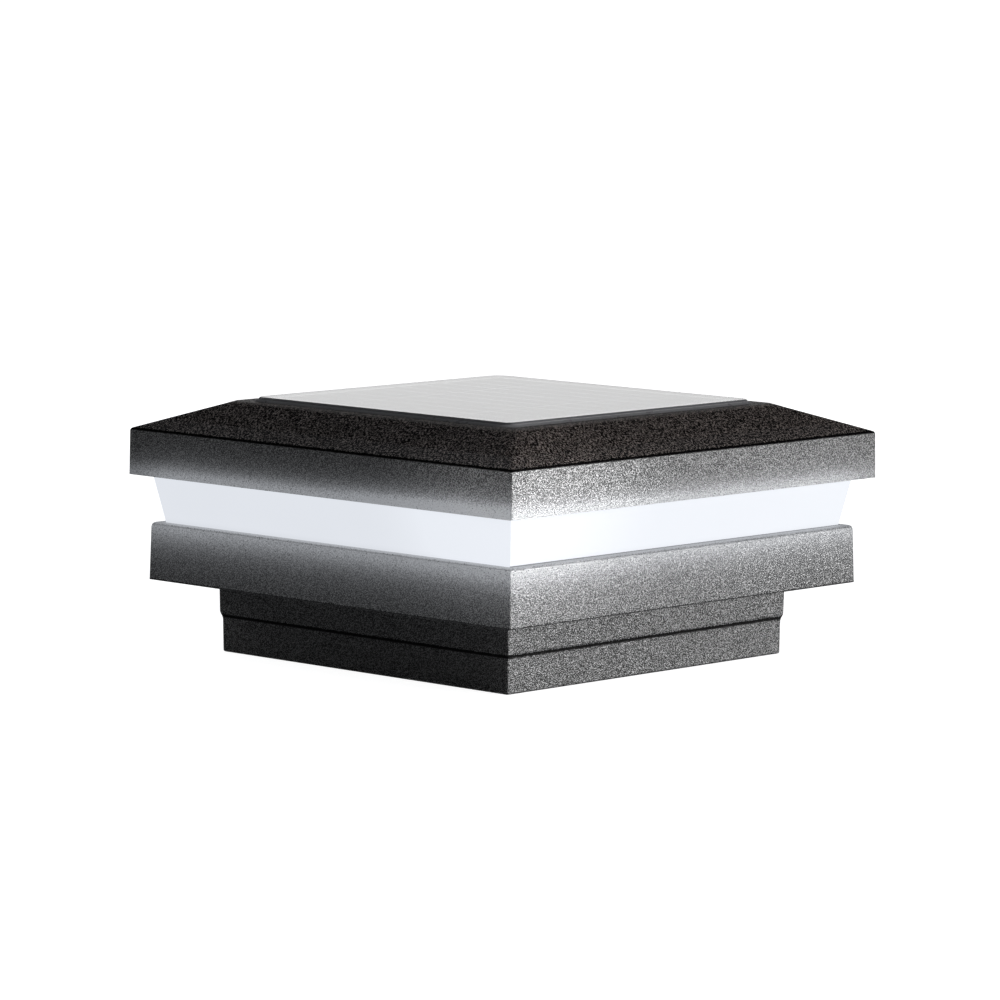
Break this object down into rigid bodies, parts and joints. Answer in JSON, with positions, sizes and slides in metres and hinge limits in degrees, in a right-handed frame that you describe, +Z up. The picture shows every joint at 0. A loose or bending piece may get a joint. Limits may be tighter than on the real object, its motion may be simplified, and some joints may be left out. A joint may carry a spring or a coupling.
{
  "type": "deck post cap light",
  "caption": "Square solar deck post cap light: black cast roof with a solar panel, glowing opal band, cast tray and a stepped skirt that drops over the post.",
  "frame": {"origin": "centre of the square skirt's lower edge", "axes": "+Z up along the post's axis; the battery door lies towards -Y and the switch slides along X"},
  "size_m": [0.127, 0.127, 0.0617],
  "materials": {
    "cast_black": "textured black powder coat",
    "panel_glass": "clear tempered glass",
    "sealant": "glossy black silicone",
    "solar_cell": "dark blue black silicon",
    "backsheet": "black laminate",
    "opal": "opal, lit from inside",
    "gasket_foam": "closed cell foam",
    "white_plastic": "white moulded",
    "led_laminate": "white solder mask",
    "led_lens": "phosphor filled",
    "board_green": "green solder mask",
    "chip_black": "moulded epoxy",
    "ferrite": "dark ferrite with copper winding",
    "can_metal": "bright drawn",
    "connector_plastic": "natural nylon",
    "cell_wrap": "green shrink sleeve",
    "spring_steel": "nickel plated",
    "door_plastic": "fine grained black",
    "screw_steel": "stainless",
    "wire_red": "PVC insulation",
    "wire_black": "PVC insulation",
    "switch_can": "tinned",
    "knob_white": "satin"
  },
  "bodies": {
    "lamp": {"roof_casting": "cast_black", "solar_glass": "panel_glass", "panel_seal": "sealant", "solar_cells": "solar_cell", "panel_backsheet": "backsheet", "diffuser": "opal", "upper_gasket": "gasket_foam", "lower_gasket": "gasket_foam", "base_casting": "cast_black", "light_core": "white_plastic", "led_boards": "led_laminate", "leds": "led_lens", "led_jumpers": "wire_red", "control_board": "board_green", "board_screws": "screw_steel", "control_chip": "chip_black", "inductor": "ferrite", "capacitor": "can_metal", "chip_resistors": "chip_black", "wire_connectors": "connector_plastic", "battery_cell": "cell_wrap", "battery_spring": "spring_steel", "battery_contacts": "spring_steel", "switch_body": "switch_can", "assembly_screws": "screw_steel", "screw_washers": "gasket_foam", "panel_lead_red": "wire_red", "panel_lead_black": "wire_black", "battery_lead_red": "wire_red", "battery_lead_black": "wire_black", "led_lead_red": "wire_red", "led_lead_black": "wire_black"},
    "door": {"battery_door": "door_plastic", "door_gasket": "gasket_foam", "door_screws": "screw_steel"},
    "switch_knob": {"switch_slider": "knob_white"}
  },
  "joints": [
    {"name": "switch_slide", "type": "slide", "parent": "lamp", "child": "switch_knob", "axis": [1, 0, 0], "range_m": [-0.003, 0]},
    {"name": "door_lift_off", "type": "slide", "parent": "lamp", "child": "door", "axis": [0, 0, -1], "range_m": [0, 0.04]}
  ]
}
